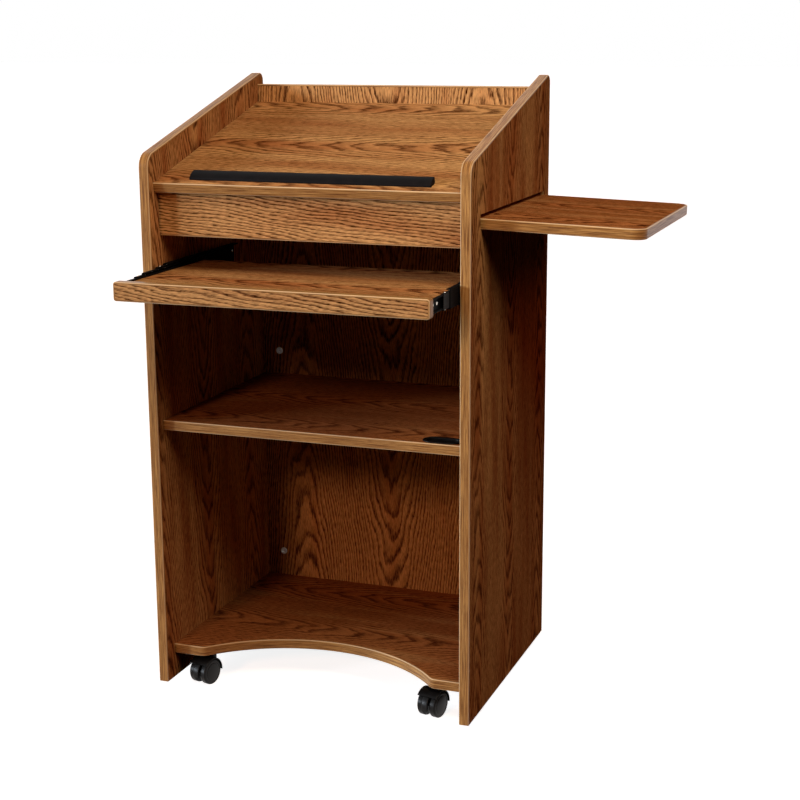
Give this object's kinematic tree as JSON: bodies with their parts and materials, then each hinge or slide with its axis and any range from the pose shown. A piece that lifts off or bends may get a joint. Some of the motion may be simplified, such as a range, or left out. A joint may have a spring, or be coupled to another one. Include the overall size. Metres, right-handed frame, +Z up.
{
  "type": "lectern",
  "caption": "Floor lectern of oak-grained laminated board on casters, with a sloped reading desk, open shelves, a keyboard tray on ball-bearing slides and a shelf that slides out at one side.",
  "frame": {"origin": "on the floor, at the middle of the footprint box of the lectern with its tray and side shelf drawn out", "axes": "+Z up, +Y from the speaker towards the audience, +X towards the side shelf, which is on the speaker's right"},
  "size_m": [0.9227, 0.657, 1.1634],
  "materials": {
    "oak_laminate": "oak-grained laminate on board, satin",
    "oak_edge_band": "light straight-grained edge band with rounded edges, satin",
    "raw_batten": "bare softwood batten",
    "book_stop_rubber": "matt black extrusion",
    "black_steel": "black sheet steel, satin",
    "bright_steel": "bright zinc-plated steel",
    "black_plastic": "moulded black plastic, semi-gloss"
  },
  "bodies": {
    "cabinet": {"left_side_panel": "oak_laminate", "left_side_edge_band": "oak_edge_band", "right_side_panel": "oak_laminate", "right_side_edge_band": "oak_edge_band", "audience_panel": "oak_laminate", "audience_panel_top_band": "oak_edge_band", "reading_desk": "oak_laminate", "desk_front_band": "oak_edge_band", "book_stop": "book_stop_rubber", "apron_panel": "oak_laminate", "apron_bottom_band": "oak_edge_band", "middle_shelf": "oak_laminate", "middle_shelf_band": "oak_edge_band", "cable_grommet": "black_plastic", "base_shelf": "oak_laminate", "base_shelf_band": "oak_edge_band", "left_slide_cabinet_member": "black_steel", "right_slide_cabinet_member": "black_steel", "front_lower_shelf_guide": "raw_batten", "front_upper_shelf_guide": "raw_batten", "rear_lower_shelf_guide": "raw_batten", "rear_upper_shelf_guide": "raw_batten", "front_left_caster_plate": "black_steel", "front_right_caster_plate": "black_steel", "rear_left_caster_plate": "black_steel", "rear_right_caster_plate": "black_steel"},
    "tray": {"keyboard_tray": "oak_laminate", "tray_fascia": "oak_laminate", "tray_fascia_band": "oak_edge_band", "left_slide_tray_member": "black_steel", "right_slide_tray_member": "black_steel"},
    "left_intermediate": {"left_slide_intermediate_member": "black_steel"},
    "right_intermediate": {"right_slide_intermediate_member": "black_steel"},
    "left_outer_cage": {"left_outer_ball_cage": "bright_steel"},
    "right_outer_cage": {"right_outer_ball_cage": "bright_steel"},
    "left_inner_cage": {"left_inner_ball_cage": "bright_steel"},
    "right_inner_cage": {"right_inner_ball_cage": "bright_steel"},
    "side_shelf": {"side_shelf": "oak_laminate", "side_shelf_band": "oak_edge_band", "side_shelf_stop": "raw_batten"},
    "front_left_caster": {"front_left_caster_hood": "black_plastic", "front_left_caster_axle": "bright_steel"},
    "front_left_caster_left_wheel": {"front_left_caster_left_wheel": "black_plastic"},
    "front_left_caster_right_wheel": {"front_left_caster_right_wheel": "black_plastic"},
    "front_left_caster_brake_lever": {"front_left_caster_brake_lever": "black_plastic"},
    "front_right_caster": {"front_right_caster_hood": "black_plastic", "front_right_caster_axle": "bright_steel"},
    "front_right_caster_left_wheel": {"front_right_caster_left_wheel": "black_plastic"},
    "front_right_caster_right_wheel": {"front_right_caster_right_wheel": "black_plastic"},
    "front_right_caster_brake_lever": {"front_right_caster_brake_lever": "black_plastic"},
    "rear_left_caster": {"rear_left_caster_hood": "black_plastic", "rear_left_caster_axle": "bright_steel"},
    "rear_left_caster_left_wheel": {"rear_left_caster_left_wheel": "black_plastic"},
    "rear_left_caster_right_wheel": {"rear_left_caster_right_wheel": "black_plastic"},
    "rear_right_caster": {"rear_right_caster_hood": "black_plastic", "rear_right_caster_axle": "bright_steel"},
    "rear_right_caster_left_wheel": {"rear_right_caster_left_wheel": "black_plastic"},
    "rear_right_caster_right_wheel": {"rear_right_caster_right_wheel": "black_plastic"}
  },
  "joints": [
    {"name": "tray_slide", "type": "slide", "parent": "cabinet", "child": "tray", "axis": [0, -1, 0], "range_m": [-0.173, 0.127]},
    {"name": "left_intermediate_slide", "type": "slide", "parent": "cabinet", "child": "left_intermediate", "axis": [0, -1, 0], "range_m": [-0.0865, 0.0635]},
    {"name": "right_intermediate_slide", "type": "slide", "parent": "cabinet", "child": "right_intermediate", "axis": [0, -1, 0], "range_m": [-0.0865, 0.0635]},
    {"name": "left_outer_cage_slide", "type": "slide", "parent": "cabinet", "child": "left_outer_cage", "axis": [0, -1, 0], "range_m": [-0.04325, 0.03175]},
    {"name": "right_outer_cage_slide", "type": "slide", "parent": "cabinet", "child": "right_outer_cage", "axis": [0, -1, 0], "range_m": [-0.04325, 0.03175]},
    {"name": "left_inner_cage_slide", "type": "slide", "parent": "cabinet", "child": "left_inner_cage", "axis": [0, -1, 0], "range_m": [-0.12975, 0.09525]},
    {"name": "right_inner_cage_slide", "type": "slide", "parent": "cabinet", "child": "right_inner_cage", "axis": [0, -1, 0], "range_m": [-0.12975, 0.09525]},
    {"name": "side_shelf_slide", "type": "slide", "parent": "cabinet", "child": "side_shelf", "axis": [0.9995, 0, -0.0301], "range_m": [-0.275, 0]},
    {"name": "front_left_caster_swivel", "type": "hinge", "parent": "cabinet", "child": "front_left_caster", "pos_m": [-0.38037, -0.1115, 0.05], "axis": [0, 0, 1], "continuous": true},
    {"name": "front_left_caster_left_spin", "type": "hinge", "parent": "front_left_caster", "child": "front_left_caster_left_wheel", "pos_m": [-0.39844, -0.12888, 0.025], "axis": [0.9744, -0.225, 0], "continuous": true},
    {"name": "front_left_caster_right_spin", "type": "hinge", "parent": "front_left_caster", "child": "front_left_caster_right_wheel", "pos_m": [-0.37175, -0.13504, 0.025], "axis": [0.9744, -0.225, 0], "continuous": true},
    {"name": "front_left_brake", "type": "hinge", "parent": "front_left_caster", "child": "front_left_caster_brake_lever", "pos_m": [-0.38767, -0.14313, 0.04078], "axis": [0.9744, -0.225, 0], "range_deg": [0, 15]},
    {"name": "front_right_caster_swivel", "type": "hinge", "parent": "cabinet", "child": "front_right_caster", "pos_m": [0.09263, -0.1115, 0.05], "axis": [0, 0, 1], "continuous": true},
    {"name": "front_right_caster_left_spin", "type": "hinge", "parent": "front_right_caster", "child": "front_right_caster_left_wheel", "pos_m": [0.07456, -0.12888, 0.025], "axis": [0.9744, -0.225, 0], "continuous": true},
    {"name": "front_right_caster_right_spin", "type": "hinge", "parent": "front_right_caster", "child": "front_right_caster_right_wheel", "pos_m": [0.10125, -0.13504, 0.025], "axis": [0.9744, -0.225, 0], "continuous": true},
    {"name": "front_right_brake", "type": "hinge", "parent": "front_right_caster", "child": "front_right_caster_brake_lever", "pos_m": [0.08533, -0.14313, 0.04078], "axis": [0.9744, -0.225, 0], "range_deg": [0, 15]},
    {"name": "rear_left_caster_swivel", "type": "hinge", "parent": "cabinet", "child": "rear_left_caster", "pos_m": [-0.38037, 0.2315, 0.05], "axis": [0, 0, 1], "continuous": true},
    {"name": "rear_left_caster_left_spin", "type": "hinge", "parent": "rear_left_caster", "child": "rear_left_caster_left_wheel", "pos_m": [-0.39844, 0.21412, 0.025], "axis": [0.9744, -0.225, 0], "continuous": true},
    {"name": "rear_left_caster_right_spin", "type": "hinge", "parent": "rear_left_caster", "child": "rear_left_caster_right_wheel", "pos_m": [-0.37175, 0.20796, 0.025], "axis": [0.9744, -0.225, 0], "continuous": true},
    {"name": "rear_right_caster_swivel", "type": "hinge", "parent": "cabinet", "child": "rear_right_caster", "pos_m": [0.09263, 0.2315, 0.05], "axis": [0, 0, 1], "continuous": true},
    {"name": "rear_right_caster_left_spin", "type": "hinge", "parent": "rear_right_caster", "child": "rear_right_caster_left_wheel", "pos_m": [0.07456, 0.21412, 0.025], "axis": [0.9744, -0.225, 0], "continuous": true},
    {"name": "rear_right_caster_right_spin", "type": "hinge", "parent": "rear_right_caster", "child": "rear_right_caster_right_wheel", "pos_m": [0.10125, 0.20796, 0.025], "axis": [0.9744, -0.225, 0], "continuous": true}
  ],
  "couplings": [
    {"joint": "left_intermediate_slide", "follows": "tray_slide", "ratio": 0.5},
    {"joint": "right_intermediate_slide", "follows": "tray_slide", "ratio": 0.5},
    {"joint": "left_outer_cage_slide", "follows": "tray_slide", "ratio": 0.25},
    {"joint": "right_outer_cage_slide", "follows": "tray_slide", "ratio": 0.25},
    {"joint": "left_inner_cage_slide", "follows": "tray_slide", "ratio": 0.75},
    {"joint": "right_inner_cage_slide", "follows": "tray_slide", "ratio": 0.75}
  ]
}
